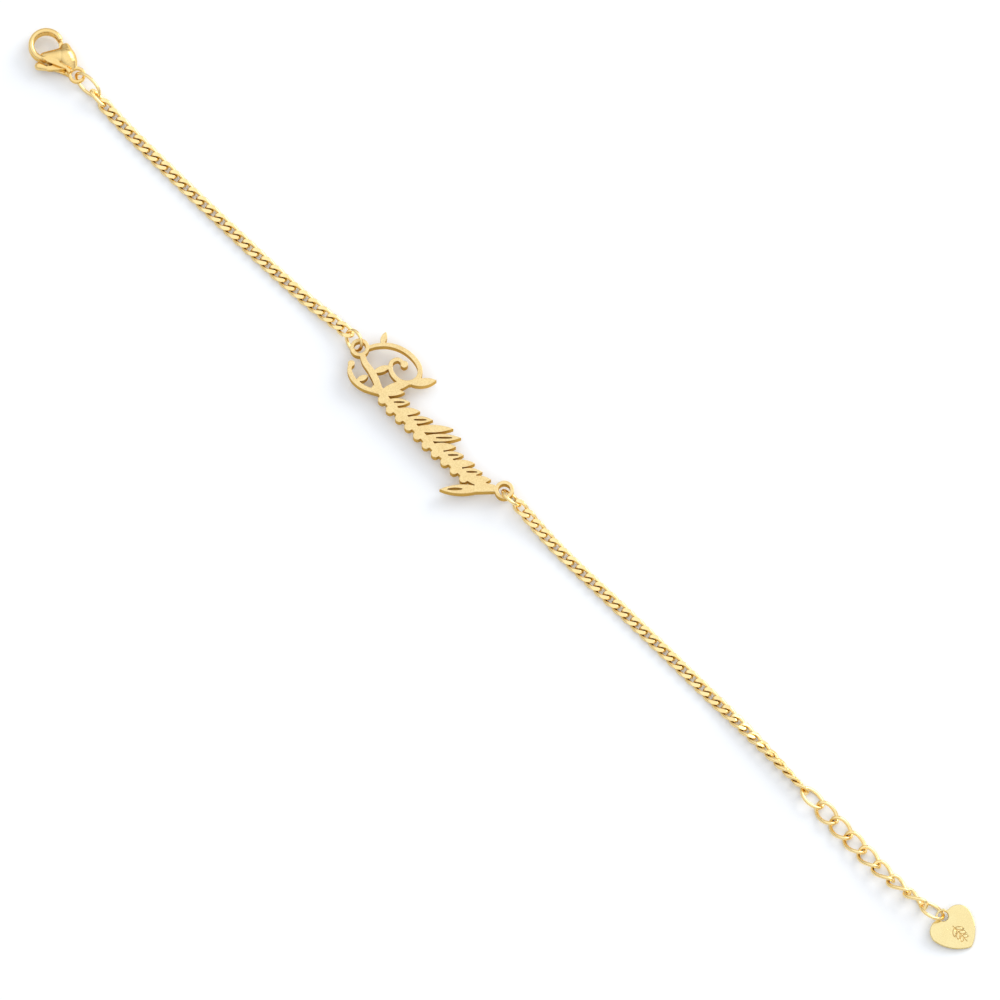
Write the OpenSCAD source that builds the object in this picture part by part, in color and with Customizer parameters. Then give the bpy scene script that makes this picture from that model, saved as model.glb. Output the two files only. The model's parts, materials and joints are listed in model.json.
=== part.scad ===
// Nameplate bracelet, laid out open on a table: lobster clasp, curb chain, pierced plate, curb chain,
// extender of larger links and a heart-shaped tag. X runs from the clasp to the tag, Z is up, and the
// origin lies on the table in the middle of the whole.

/* [Chains] */
// Wire diameter of the curb chain
chain_wire = 0.48; // [0.4:0.01:0.49]
// Outer width of a curb link
chain_width = 1.94; // [1.9:0.02:2.2]
// Distance from one curb link to the next
chain_pitch = 1.9; // [1.8:0.02:2.2]
// Half height to which the curb links are ground flat
chain_flat = 0.44; // [0.38:0.01:0.5]
// Curb links on the clasp's side of the plate
left_links = 28; // [18:1:34]
// Curb links on the extender's side of the plate
right_links = 32; // [18:1:38]

/* [Extender] */
// Wire diameter of the extender's links
extender_wire = 0.5; // [0.4:0.02:0.56]
// Outer width of an extender link
extender_width = 2.9; // [2.6:0.1:3.4]
// Distance from one extender link to the next
extender_pitch = 3.1; // [2.9:0.05:3.6]
// Open links in the extender
extender_links = 7; // [3:1:12]
// Wire diameter of the oval ring that starts the extender
start_wire = 0.5; // [0.4:0.02:0.54]
// Outer length of that ring
start_length = 4.3; // [4:0.1:5]
// Outer width of that ring
start_width = 3; // [2.8:0.1:3.4]

/* [Jump rings] */
// Wire diameter of the jump rings
ring_wire = 0.5; // [0.4:0.02:0.54]
// Outer diameter of the two rings at the plate
plate_ring_d = 3.7; // [3.5:0.1:4.2]
// Outer diameter of the ring that carries the tag
tag_ring_d = 4.1; // [3.8:0.1:4.6]
// Outer length of the oval ring at the clasp
clasp_ring_length = 5; // [4.6:0.1:5.4]
// Outer width of the oval ring at the clasp
clasp_ring_width = 3.3; // [3.2:0.1:3.8]

/* [Plate] */
// Distance between the centres of the plate's two eyes
plate_span = 30.6; // [26:0.5:44]
// Thickness of the plate
plate_thick = 1.3; // [0.9:0.1:1.4]
// Outer diameter of the plate's eyes
plate_eye_d = 2.8; // [2.6:0.1:3.4]
// Bore of the plate's eyes
plate_eye_bore = 1.76; // [1.72:0.02:1.9]
// Width of the vine's stem
stem_width = 1; // [0.7:0.05:1.2]
// Length of the longest leaf
leaf_length = 6.4; // [5:0.1:7]
// Width of a leaf
leaf_width = 1.25; // [1:0.05:1.4]
// Diameter of the berries under the stem
berry_d = 1.3; // [1.1:0.1:1.6]
// Broadest stroke of the tendrils at the plate's left end
scroll_stroke = 0.72; // [0.6:0.02:0.9]
// Width of the long leaf at the plate's right end
tail_width = 1.45; // [1.2:0.05:1.8]

/* [Tag] */
// Width of the heart across its lobes
heart_width = 7; // [6:0.1:8]
// Distance from the tag's bore to the heart's point
heart_reach = 6.1; // [5.4:0.1:7]
// Thickness of the tag
heart_thick = 0.55; // [0.45:0.05:0.6]
// Bore of the tag
heart_bore = 1.56; // [1.5:0.02:1.64]
// Depth of the tag's engraving
engrave_depth = 0.1; // [0.05:0.01:0.15]
// Width of an engraved line
engrave_line = 0.14; // [0.1:0.01:0.2]

/* [Clasp] */
// Outer diameter of the clasp's eye
clasp_eye_d = 2.5; // [2.4:0.1:3]
// Bore of the clasp's eye
clasp_eye_bore = 1.7; // [1.68:0.02:1.8]
// Thickness of the clasp's eye
clasp_eye_thick = 0.8; // [0.65:0.05:0.85]
// Distance from the eye to the middle of the hook
hook_reach = 6.45; // [6.2:0.05:6.9]
// Radius of the hook's middle line
hook_radius = 2.2; // [2:0.05:2.4]
// Width of the hook's section, seen from above
hook_width = 0.8; // [0.6:0.05:0.9]
// Height of the hook's section
hook_height = 1.8; // [1.4:0.05:1.9]
// Largest radius of the clasp's bulb
bulb_radius = 1.46; // [1.36:0.02:1.54]
// Thickness of the lever in its slot
lever_thick = 0.8; // [0.6:0.05:0.9]
// Diameter of the lever's pin
pin_d = 0.7; // [0.5:0.05:0.8]
// Radial running clearance of the lever on its pin
pin_gap = 0.03; // [0.02:0.01:0.06]
// Angle that the lever turns when it is pulled open
lever_travel = 22; // [10:1:24]

/* [Fits] */
// Least gap between two pieces of wire or metal
gap = 0.12; // [0.1:0.01:0.16]

/* [Hidden] */
GOLD = [0.93, 0.78, 0.45];
BRIGHT = [0.98, 0.88, 0.58];
$fn = 48;

// Points along a link's wire and round its section
LINK_STEPS = 14;
WIRE_SIDES = 6;

// The curb twist of the small links, and of the larger ones, in degrees to each side
CURB_TWIST = 51;
OPEN_TWIST = 45;

// A half height that no wire reaches, for links that are not ground flat
UNGROUND = 9;

// Extra length of an open link beside its twisted neighbours, and play of the last curb link on the
// clasp's ring
OPEN_PLAY = 0.02;
CLASP_PLAY = 0.35;

// Tilt of each ring about the bracelet's length, the far side up when positive
clasp_ring_tilt = 64;
left_ring_tilt = 61;
right_ring_tilt = -61;
tag_ring_tilt = -47;

// Turn of three of the rings about the upright axis
clasp_ring_yaw = 3;
left_ring_yaw = -10;
tag_ring_yaw = 9;

// How the oval ring that starts the extender rolls and leans
start_roll = -29;
start_lean = -3;

// How far round a ring, from its end, each neighbour hangs towards the ring's low side
eye_hang = 1;
chain_hang = 4;
clasp_chain_hang = 22;
tag_link_hang = 6;
tag_hang = 20;

// Sideways course of each chain from the plate outwards: share of its length, offset in mm
LEFT_ROUTE = [[0, 0], [0.1, -0.45], [0.2, -0.85], [0.35, -1.1], [0.6, -1.35], [0.8, -1.45], [0.93, -1.25],
    [1, -1]];
RIGHT_ROUTE = [[0, 0], [0.05, -0.25], [0.12, -0.48], [0.2, -0.42], [0.3, -0.25], [0.55, -0.08], [0.8, 0],
    [0.9, -0.1], [1, -0.38]];
TAG_ROUTE = [[0, 0], [0.12, -0.2], [0.25, -0.3], [0.5, -0.48], [0.7, -0.55], [0.85, -0.22], [1, 0.22]];

// Roll of the extender's links towards the tag, in degrees
EXTENDER_ROLL = [6, 2, -6, -17, -32, -50, -71];

// Length of each leaf along the stem as a share of the longest, and whether it is pierced
LEAVES = [[0.68, false], [0.62, true], [0.66, false], [0.74, true], [1, false], [0.98, true], [0.66, false],
    [0.62, true], [0.66, false], [0.62, true], [0.58, false]];
LEAF_SLANT = 46;
TAIL_SLANT = 227;

function clamp(v, low, high) = min(max(v, low), high);
function ease(u) = let(v = clamp(u, 0, 1)) v * v * (3 - 2 * v);
function power(v, n) = sign(v) * pow(abs(v), n);
function lowest(points) = min([for (p = points) p[2]]);
function leaned(p, angle) =
    [p[0] * cos(angle) - p[2] * sin(angle), p[1], p[0] * sin(angle) + p[2] * cos(angle)];
function rolled(p, angle) =
    [p[0], p[1] * cos(angle) - p[2] * sin(angle), p[1] * sin(angle) + p[2] * cos(angle)];

// A table read at a share, averaged over a short reach so that its corners are rounded, from 0 at its start
REACH = 0.03;
function averaged(table, at) = (lookup(at - 2 * REACH, table) + lookup(at - REACH, table) + lookup(at, table)
    + lookup(at + REACH, table) + lookup(at + 2 * REACH, table)) / 5;
function sway(table, at) = averaged(table, at) - averaged(table, 0);

// Middle line of a link: an oval of half length a and half width b, twisted about its length
function link_line(a, b, twist, square, t) = let(x = a * power(cos(t), square), y = b * power(sin(t), square))
    rolled([x, y, 0], -twist * x / a);

// Skin of a link, ring of points after ring of points: its wire broadens at the ends by the share "swell".
// It is flattened above and below, rolled about its length and then leaned with its +X end up.
function link_skin(a, b, wire, twist, square, flat, roll, lean = 0, swell = 0) = [
    for (i = [0 : LINK_STEPS - 1])
        let(
            t = 360 * (i + 0.5) / LINK_STEPS,
            p = link_line(a, b, twist, square, t),
            ahead = link_line(a, b, twist, square, t + 3) - link_line(a, b, twist, square, t - 3),
            along = ahead / norm(ahead),
            face = rolled([0, 0, 1], -twist * p[0] / a),
            across = cross(along, face) / norm(cross(along, face)),
            up = cross(across, along)
        )
        for (j = [0 : WIRE_SIDES - 1])
            let(
                u = 360 * (j + 0.5) / WIRE_SIDES,
                broad = 1 + swell * cos(t) * cos(t),
                q = p + wire / 2 * (cos(u) * broad * across + sin(u) * up)
            )
            leaned(rolled([q[0], q[1], clamp(q[2], -flat, flat)], roll), lean)
];

// The two triangles of each patch of a link's skin
function link_faces() = [
    for (i = [0 : LINK_STEPS - 1])
        for (j = [0 : WIRE_SIDES - 1])
            let(
                i2 = (i + 1) % LINK_STEPS,
                j2 = (j + 1) % WIRE_SIDES,
                a = i * WIRE_SIDES + j,
                b = i * WIRE_SIDES + j2,
                c = i2 * WIRE_SIDES + j2,
                d = i2 * WIRE_SIDES + j
            )
            each [[a, b, c], [a, c, d]]
];

module link(skin) {
    polyhedron(points = skin, faces = link_faces(), convexity = 4);
}

// A point on a ring's middle line: half length a, half width b, tilted about X and turned about Z
function spun(p, yaw) = [p[0] * cos(yaw) - p[1] * sin(yaw), p[0] * sin(yaw) + p[1] * cos(yaw), p[2]];
function on_ring(a, b, tilt, angle, yaw = 0) = spun(rolled([a * cos(angle), b * sin(angle), 0], tilt), yaw);

// Share by which a curb link's wire broadens at the link's ends
CURB_SWELL = 0.3;

// Half lengths and half widths of the middle lines
curb_end = chain_wire * (1 + CURB_SWELL);
curb_a = (chain_pitch + curb_end + gap) / 2;
curb_b = (chain_width - chain_wire) / 2;
curb_square = 0.74;
open_a = (extender_pitch + extender_wire + gap) / 2 + OPEN_PLAY;
open_b = (extender_width - extender_wire) / 2;
open_square = 0.8;
start_a = (start_length - start_wire) / 2;
start_b = (start_width - start_wire) / 2;
clasp_ring_a = (clasp_ring_length - ring_wire) / 2;
clasp_ring_b = (clasp_ring_width - ring_wire) / 2;
plate_ring_r = (plate_ring_d - ring_wire) / 2;
tag_ring_r = (tag_ring_d - ring_wire) / 2;

// How far one wire's end passes the next wire, from middle line to middle line
curb_hold = (curb_end + ring_wire) / 2 + gap;
clasp_hold = curb_hold + CLASP_PLAY;
start_hold = (curb_end + start_wire) / 2 + gap;
open_hold = (extender_wire + start_wire) / 2 + gap;
tag_hold = (extender_wire + ring_wire) / 2 + gap;

// How far a ring's end passes the middle of a bore, so that the wire's curve is centred in it
function passes(bend, thick, tilt) = (bend - sqrt(bend * bend - pow(thick / 2 / sin(abs(tilt)), 2))) / 2;

// Height of each ring's middle when it stands on the table
function ring_rest(b, tilt) = b * sin(abs(tilt)) + ring_wire / 2;

// The plate with its rings. Places are [x, y, z] of a ring's middle.
eye_in = passes(plate_ring_r, plate_thick, left_ring_tilt);
left_eye_side = on_ring(plate_ring_r, plate_ring_r, left_ring_tilt, -eye_hang, left_ring_yaw);
left_ring_at = [
    eye_in - plate_span / 2 - left_eye_side[0],
    -left_eye_side[1],
    ring_rest(plate_ring_r, left_ring_tilt)
];
right_ring_at = [
    plate_span / 2 - eye_in - on_ring(plate_ring_r, plate_ring_r, right_ring_tilt, 180 - eye_hang)[0],
    -on_ring(plate_ring_r, plate_ring_r, right_ring_tilt, 180 - eye_hang)[1],
    ring_rest(plate_ring_r, right_ring_tilt)
];
plate_z = left_ring_at[2] + left_eye_side[2];

// Where the two chains hang in the plate's rings
left_hook = left_ring_at
    + on_ring(plate_ring_r, plate_ring_r, left_ring_tilt, 180 + chain_hang, left_ring_yaw);
right_hook = right_ring_at + on_ring(plate_ring_r, plate_ring_r, right_ring_tilt, chain_hang);

// Middle of link i of a chain, counted from the plate, before its sideways course
function left_x(i) = left_hook[0] + curb_hold - curb_a - i * chain_pitch;
function right_x(i) = right_hook[0] - curb_hold + curb_a + i * chain_pitch;
left_end_x = left_x(left_links - 1) - curb_a;
right_end_x = right_x(right_links - 1) + curb_a;

// Sideways offset of the left chain, the right chain and the extender at x
function left_y(x) = left_hook[1]
    + sway(LEFT_ROUTE, (left_hook[0] - x) / (left_hook[0] - left_end_x));
function right_y(x) = right_hook[1]
    + sway(RIGHT_ROUTE, (x - right_hook[0]) / (right_end_x - right_hook[0]));

// Roll of link i: over a few links near the plate the chains turn open, and over the last links before the
// extender the right one turns on edge
plate_roll = 6;
edge_roll = -72;
PLATE_LINKS = 5;
EDGE_LINKS = 10;
function near_plate(i) = pow(max(0, 1 - i / PLATE_LINKS), 1.5);
function near_edge(i) = pow(max(0, (i - right_links + 1) / EDGE_LINKS + 1), 1.1);
function left_roll(i) = i == left_links - 1 ? -CURB_TWIST : plate_roll * near_plate(i);
function left_twist(i) = i == left_links - 1 ? 0 : CURB_TWIST;
function right_roll(i) = edge_roll * near_edge(i) - plate_roll * near_plate(i);

// Height of a link's middle. Its course runs on the table and rises to a ring near the plate, from the
// link RISE_LINKS on. A link leans along that course, and is lifted until its lowest point is on the table.
RISE_LINKS = 5;
RISE_START = 0.6;
function curb_skin(twist, roll, lean) =
    link_skin(curb_a, curb_b, chain_wire, twist, curb_square, chain_flat, roll, lean, CURB_SWELL);
function lift(i, hook_z) = chain_flat
    + (hook_z - chain_flat) * pow(max(0, 1 - (i + RISE_START) / (RISE_LINKS + RISE_START)), 1.6);
function left_course(i) = max(lift(i, left_hook[2]), -lowest(curb_skin(left_twist(i), left_roll(i), 0)));
function right_course(i) = max(lift(i, right_hook[2]), -lowest(curb_skin(CURB_TWIST, right_roll(i), 0)));
function left_lean(i) = let(i1 = max(i - 1, 0), i2 = min(i + 1, left_links - 1))
    atan((left_course(i1) - left_course(i2)) / ((i2 - i1) * chain_pitch));
function right_lean(i) = let(i1 = max(i - 1, 0), i2 = min(i + 1, right_links - 1))
    atan((right_course(i2) - right_course(i1)) / ((i2 - i1) * chain_pitch));
function seated(course, skin) = max(course, -lowest(skin));

// Clasp ring, with the clasp's eye at its outer end
clasp_hook = on_ring(clasp_ring_a, clasp_ring_b, clasp_ring_tilt, -clasp_chain_hang, clasp_ring_yaw);
clasp_ring_at = [
    left_end_x + clasp_hold - clasp_hook[0],
    left_y(left_end_x) - clasp_hook[1],
    ring_rest(clasp_ring_b, clasp_ring_tilt)
];
clasp_in = passes(clasp_ring_b * clasp_ring_b / clasp_ring_a, clasp_eye_thick, clasp_ring_tilt);
clasp_eye_side = spun([clasp_in - clasp_ring_a, 0, 0], clasp_ring_yaw);
clasp_eye_at = [clasp_ring_at[0] + clasp_eye_side[0], clasp_ring_at[1] + clasp_eye_side[1], bulb_radius];

// Ring that starts the extender, and the middle of each link of the extender
function start_skin() =
    link_skin(start_a, start_b, start_wire, 0, 1, UNGROUND, start_roll, start_lean);
start_at = [
    right_end_x - start_hold + start_a,
    right_y(right_end_x),
    -lowest(start_skin())
];
function extender_x(i) = start_at[0] + start_a - open_hold + open_a + i * extender_pitch;
extender_end_x = extender_x(extender_links - 1) + open_a;
function extender_y(x) = start_at[1]
    + sway(TAG_ROUTE, (x - start_at[0]) / (extender_end_x - start_at[0]));
function extender_roll(i) = let(count = len(EXTENDER_ROLL))
    EXTENDER_ROLL[clamp(i - extender_links + count, 0, count - 1)];
function open_skin(roll, lean) =
    link_skin(open_a, open_b, extender_wire, OPEN_TWIST, open_square, UNGROUND, roll, lean);
function extender_course(i) = -lowest(open_skin(extender_roll(i), 0));
function extender_lean(i) = let(i1 = max(i - 1, 0), i2 = min(i + 1, extender_links - 1))
    atan((extender_course(i2) - extender_course(i1)) / ((i2 - i1) * extender_pitch));

// Ring and bore of the tag
tag_link_side = on_ring(tag_ring_r, tag_ring_r, tag_ring_tilt, 180 - tag_link_hang, tag_ring_yaw);
tag_heart_side = on_ring(tag_ring_r, tag_ring_r, tag_ring_tilt, tag_hang, tag_ring_yaw);
tag_ring_at = [
    extender_end_x - tag_hold - tag_link_side[0],
    extender_y(extender_end_x) - tag_link_side[1],
    ring_rest(tag_ring_r, tag_ring_tilt)
];
heart_at = tag_ring_at + tag_heart_side - [passes(tag_ring_r, heart_thick, tag_ring_tilt), 0, 0];
heart_slope = asin((heart_at[2] - heart_thick / 2) / heart_reach);

// The vine's middle lines and places. x runs from the left eye in hundredths of the plate's span, and y is
// in mm from the line through both eyes.
STEM = [[3.6, -0.5], [7.2, -1.05], [12.1, -1.3], [17, -1.75], [22.9, -2.5], [32.7, -2.9], [45.8, -2.75],
    [58.8, -2.9], [71.9, -2.7], [83.3, -2.55], [90.2, -1.9], [95.4, -0.9]];
VOLUTE = [[2.9, 0.9], [4.9, 2.1], [8.8, 3.4], [14.4, 4.3], [20.9, 4.6], [27.1, 4.2], [30.4, 3], [29.4, 1.5],
    [25.2, 0.6], [19.6, 0.7], [16, 1.7], [17, 2.8], [20.9, 2.9]];
LOWER = [[23.5, -2.7], [19.3, -3.4], [14.7, -3.95], [9.5, -4.05], [4.9, -3.5], [3.1, -2.6]];

// Diameter of the round buds in which the two tendrils end
VOLUTE_BUD = 1.1;
LOWER_BUD = 1;

// Leaflets beside the tendrils: place, length, width and heading
LEAFLETS = [[[22.9, -2.3], 4.6, 1.3, 62], [[30.1, 1.4], 3.9, 1.25, 55], [[6.2, 2.6], 2.1, 0.9, 118],
    [[13.4, -1.3], 2.9, 1, 66], [[11.1, -3.9], 1.9, 0.9, 70]];

// Places of the first and the last leaf along the stem as shares of the span, and how far a leaf's foot
// lies below the stem's middle line
FIRST_LEAF = 0.236;
LAST_LEAF = 0.856;
LEAF_FOOT = 0.9;

// A slit in a leaf: its start and length as shares of the leaf's length, and its width
LEAF_SLIT = [0.34, 0.52];
slit_width = 0.26;

// How far a berry's middle lies below the stem's
BERRY_DROP = 0.55;

// The long last leaf: its foot from the right eye, the half widths of its stalk, and, as shares of its
// length, the stalk, the blade's start and the slit's start and length
TAIL_FOOT = [-0.9, -0.7];
TAIL_STALK = [0.45, 0.5];
TAIL_SHARES = [0.5, 0.2, 0.58, 0.3];
tail_slit = 0.4;

// Reach of the plate above and below the line through its eyes
arch_reach = max([for (p = VOLUTE) p[1]]) + scroll_stroke / 2;
tail_reach = 6.8;

// How far the eyes' backs stand off the plate's back, so that the plate lies flat beside its rings, and how
// far beyond the eyes that goes
EYE_SETBACK = 0.1;
EYE_MARGIN = 0.1;

// Box of the whole, and the shift that puts its middle on the origin
whole_left = clasp_eye_at[0] - hook_reach - hook_radius - hook_width / 2;
whole_right = heart_at[0] + heart_reach * cos(heart_slope);
whole_back = arch_reach;
whole_front = -tail_reach;
shift = [-(whole_left + whole_right) / 2, -(whole_front + whole_back) / 2, 0];

// A round ring of wire about the Z axis
module round_ring(radius, wire) {
    rotate_extrude() translate([radius, 0]) circle(d = wire, $fn = 24);
}

// A rod between two points in the XY plane, round at both ends and tapered between them
ARC_STEPS = 9;
module tapered_rod(from, to, r1, r2) {
    run = norm(to - from);
    lean = asin((r1 - r2) / run);
    translate([from[0], from[1], 0]) rotate([0, 90, atan2(to[1] - from[1], to[0] - from[0])])
        rotate_extrude() polygon(concat(
            [for (i = [0 : ARC_STEPS]) let(u = -90 + (lean + 90) * i / ARC_STEPS) r1 * [cos(u), sin(u)]],
            [for (i = [0 : ARC_STEPS]) let(u = lean + (90 - lean) * i / ARC_STEPS)
                [r2 * cos(u), run + r2 * sin(u)]]
        ));
}

// A leaf as the overlap of two circles, from the point "at" towards an angle
module leaf(at, length, width, angle) {
    r = (length * length + width * width) / (4 * width);
    translate(at) rotate(angle) translate([length / 2, 0]) intersection() {
        translate([0, r - width / 2]) circle(r = r, $fn = 72);
        translate([0, width / 2 - r]) circle(r = r, $fn = 72);
    }
}

// An outline with its inner corners rounded
module softened(radius) {
    offset(r = -radius, $fn = 8) offset(delta = radius) children();
}

// A band along a line of points, with a half width for each point
function side_of(points, i) = let(
    last = len(points) - 1,
    d = points[min(i + 1, last)] - points[max(i - 1, 0)]
) [-d[1], d[0]] / norm(d);
module band(points, halves) {
    last = len(points) - 1;
    polygon(concat(
        [for (i = [0 : last]) points[i] + halves[i] * side_of(points, i)],
        [for (i = [last : -1 : 0]) points[i] - halves[i] * side_of(points, i)]
    ));
    translate(points[0]) circle(r = halves[0], $fn = 24);
    translate(points[last]) circle(r = halves[last], $fn = 24);
}

// Clasp, about its own eye, with its hook towards -X. Points lie in its middle plane.
// Pin, middle of the bulb, far end of the cheeks beside the gate, and root of the hook
PIVOT = [-3.2, 0.1];
BULB = [-3.2, 0.75];
CHEEK = [-4.3, 1.62];
ROOT = [-5.2, -1.5];

// Where the rods to the hook's root and to the cheeks' end start, from the middle of the bulb
SHOULDER = BULB + [-0.6, -0.55];
CHEEK_START = BULB + [-0.15, 0.1];

// Radii of those rods at their starts and ends
shoulder_r = bulb_radius - 0.16;
root_r = hook_height / 2 - 0.04;
cheek_start_r = bulb_radius - 0.12;
cheek_r = 0.82;

// Reach of the bulb's blunt end, how far its long end stops short of the eye's middle, and how fast that
// end narrows
BLUNT_REACH = 1.5;
NOSE_SHORT = 0.5;
NOSE_TAPER = 1.8;

// The hook's arc, from its tip to its root, about its own middle
HOOK_TIP = 65;
HOOK_ROOT = 318;
hook_at = [-hook_reach, -0.1];

// The slot, the pin in it, the flat rail above it and the lip below it along the lower side, and the part
// of the slot that opens there
slot_half = lever_thick / 2 + gap;
pin_length = 2;
rail_height = 1.9;
RAIL = [[-0.9, -0.2], [-4.9, -1], [-5.4, -2.1], [-4.3, -1.9], [-1.7, -0.7], [-1.2, -0.8], [-0.8, -0.8]];
LIP = [[-0.9, -0.2], [-4.9, -1], [-4.5, -1.9], [-3.3, -2], [-2.4, -1.5], [-1.3, -1.05], [-0.8, -0.9]];
MOUTH = [[-3.7, -0.3], [-4.9, -3.2], [-1.5, -3.2], [-1.55, -0.4]];

// The lever about its pin: radius of its hub, half width of its gate at the pin, half widths of the gate
// from there to the tip, and how far the gate laps over the hook's tip in degrees
hub_r = 0.8;
bar_half = 0.5;
GATE_HALVES = [bar_half, 0.46, 0.36];
GATE_LAP = 16;
gate_tip = hook_at + hook_radius * [cos(HOOK_TIP - GATE_LAP), sin(HOOK_TIP - GATE_LAP)] - PIVOT;
GATE_TURN = atan2(gate_tip[1], gate_tip[0]);

// Its arm along the rail, from the end that the spring pushes to the root of the thumb tab, the half widths
// of the arm, and the tab's end and radii
ARM = [[1.15, -0.6], [0.4, -1.4], [-0.4, -2.4]];
ARM_HALVES = [0.22, 0.38, 0.34];
TAB_END = [-1.7, -3.2];
TAB_RADII = [0.36, 0.6];
SWING_REACH = 4;

// Section of the hook: upright, with round ends
module hook_section() {
    r = hook_width / 2;
    up = hook_height / 2 - r;
    translate([hook_radius, 0]) polygon(concat(
        [for (i = [0 : 2 * ARC_STEPS]) let(u = 90 * i / ARC_STEPS) [r * cos(u), up + r * sin(u)]],
        [for (i = [0 : 2 * ARC_STEPS]) let(u = 180 + 90 * i / ARC_STEPS) [r * cos(u), r * sin(u) - up]]
    ));
}

// Room for a bar that swings from one angle to another about the pin, with its edge "half" from its middle
module swing_room(from, to, half, reach) {
    polygon([
        half * [-sin(to), cos(to)],
        half * [-sin(to), cos(to)] + reach * [cos(to), sin(to)],
        reach * [cos(from), sin(from)] - half * [-sin(from), cos(from)],
        -half * [-sin(from), cos(from)]
    ]);
}

// Room for the arm's spring end, which swings about the pin
module spring_room() {
    reach = norm(ARM[0]) + ARM_HALVES[0] + gap;
    spare = asin((ARM_HALVES[0] + gap) / norm(ARM[0]));
    turn = atan2(ARM[0][1], ARM[0][0]);
    from = turn - spare;
    to = turn + spare + lever_travel;
    polygon(concat(
        [[-gap, 0]],
        [for (i = [0 : ARC_STEPS]) let(u = from + (to - from) * i / ARC_STEPS) reach * [cos(u), sin(u)]]
    ));
}

// Body of the clasp, an egg whose long end reaches to the eye
module egg() {
    reach = norm(BULB) - NOSE_SHORT;
    translate([BULB[0], BULB[1], 0]) rotate([0, 90, atan2(-BULB[1], -BULB[0])])
        rotate_extrude() polygon(concat(
            [for (i = [0 : ARC_STEPS]) let(u = -90 + 90 * i / ARC_STEPS)
                [bulb_radius * cos(u), BLUNT_REACH * sin(u)]],
            [for (i = [1 : ARC_STEPS]) let(u = 90 * i / ARC_STEPS)
                [bulb_radius * power(cos(u), NOSE_TAPER), reach * sin(u)]]
        ));
}

module clasp_body() {
    color(GOLD) translate(clasp_eye_at) difference() {
        union() {
            cylinder(d = clasp_eye_d, h = clasp_eye_thick, center = true);
            egg();
            tapered_rod(SHOULDER, ROOT, shoulder_r, root_r);
            tapered_rod(CHEEK_START, CHEEK, cheek_start_r, cheek_r);
            linear_extrude(rail_height / 2) polygon(RAIL);
            translate([0, 0, -rail_height / 2]) linear_extrude(rail_height / 2) polygon(LIP);
            translate(hook_at) rotate(HOOK_TIP) rotate_extrude(angle = HOOK_ROOT - HOOK_TIP) hook_section();
        }
        cylinder(d = clasp_eye_bore, h = 4 * clasp_eye_thick, center = true);
        // Slot in which the lever swings
        translate([PIVOT[0], PIVOT[1], 0]) {
            cylinder(r = hub_r + gap, h = 2 * slot_half, center = true);
            translate([0, 0, -slot_half]) linear_extrude(2 * slot_half)
                swing_room(GATE_TURN, GATE_TURN + lever_travel, bar_half + gap, SWING_REACH);
            translate([0, 0, -slot_half]) linear_extrude(2 * slot_half) spring_room();
            cylinder(d = pin_d, h = pin_length, center = true);
        }
        translate([0, 0, -slot_half]) linear_extrude(2 * slot_half) polygon(MOUTH);
    }
}

// The lever seen from above, about its pin: hub, gate, and the arm with a web to the hub
module lever_plan() {
    circle(r = hub_r);
    band([[0, 0], gate_tip / 2, gate_tip], GATE_HALVES);
    band(ARM, ARM_HALVES);
    polygon([[0, hub_r / 2], ARM[0], ARM[2], [-hub_r / 2, -hub_r / 2]]);
}

module clasp_lever() {
    color(BRIGHT) translate(clasp_eye_at + [PIVOT[0], PIVOT[1], 0]) difference() {
        union() {
            translate([0, 0, -lever_thick / 2])
                linear_extrude(lever_thick) softened(0.1) lever_plan();
            tapered_rod(ARM[2], TAB_END, TAB_RADII[0], TAB_RADII[1]);
        }
        cylinder(d = pin_d + 2 * pin_gap, h = 2 * lever_thick, center = true);
    }
}

module clasp_pin() {
    color(GOLD) translate(clasp_eye_at + [PIVOT[0], PIVOT[1], 0])
        cylinder(d = pin_d, h = pin_length, center = true);
}

module clasp_ring() {
    color(GOLD) translate(clasp_ring_at) rotate(clasp_ring_yaw)
        link(link_skin(clasp_ring_a, clasp_ring_b, ring_wire, 0, 1, UNGROUND, clasp_ring_tilt));
}

// Chains: each link turns along the chain's course
module left_chain() {
    color(GOLD) for (i = [0 : left_links - 1]) {
        x = left_x(i);
        skin = curb_skin(left_twist(i), left_roll(i), left_lean(i));
        translate([x, left_y(x), seated(left_course(i), skin)])
            rotate(atan(left_y(x + 0.5) - left_y(x - 0.5))) link(skin);
    }
}

module right_chain() {
    color(GOLD) for (i = [0 : right_links - 1]) {
        x = right_x(i);
        skin = curb_skin(CURB_TWIST, right_roll(i), right_lean(i));
        translate([x, right_y(x), seated(right_course(i), skin)])
            rotate(atan(right_y(x + 0.5) - right_y(x - 0.5))) link(skin);
    }
}

module left_ring() {
    color(GOLD) translate(left_ring_at) rotate([left_ring_tilt, 0, left_ring_yaw])
        round_ring(plate_ring_r, ring_wire);
}

module right_ring() {
    color(GOLD) translate(right_ring_at) rotate([right_ring_tilt, 0, 0])
        round_ring(plate_ring_r, ring_wire);
}

// Plate: a vine between two eyes, whose places stretch with the plate's span
function placed(points) = [for (p = points) [p[0] / 100 * plate_span, p[1]]];

// A smooth line through given points, as the middle line of a tendril
CURVE_STEPS = 4;
function bent(p, u) = 0.5 * ((2 * p[1]) + (p[2] - p[0]) * u + (2 * p[0] - 5 * p[1] + 4 * p[2] - p[3]) * u * u
    + (3 * p[1] - p[0] - 3 * p[2] + p[3]) * u * u * u);
function smooth_line(p) = let(last = len(p) - 1) concat(
    [for (i = [0 : last - 1], k = [0 : CURVE_STEPS - 1])
        bent([p[max(i - 1, 0)], p[i], p[i + 1], p[min(i + 2, last)]], k / CURVE_STEPS)],
    [p[last]]
);

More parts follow.
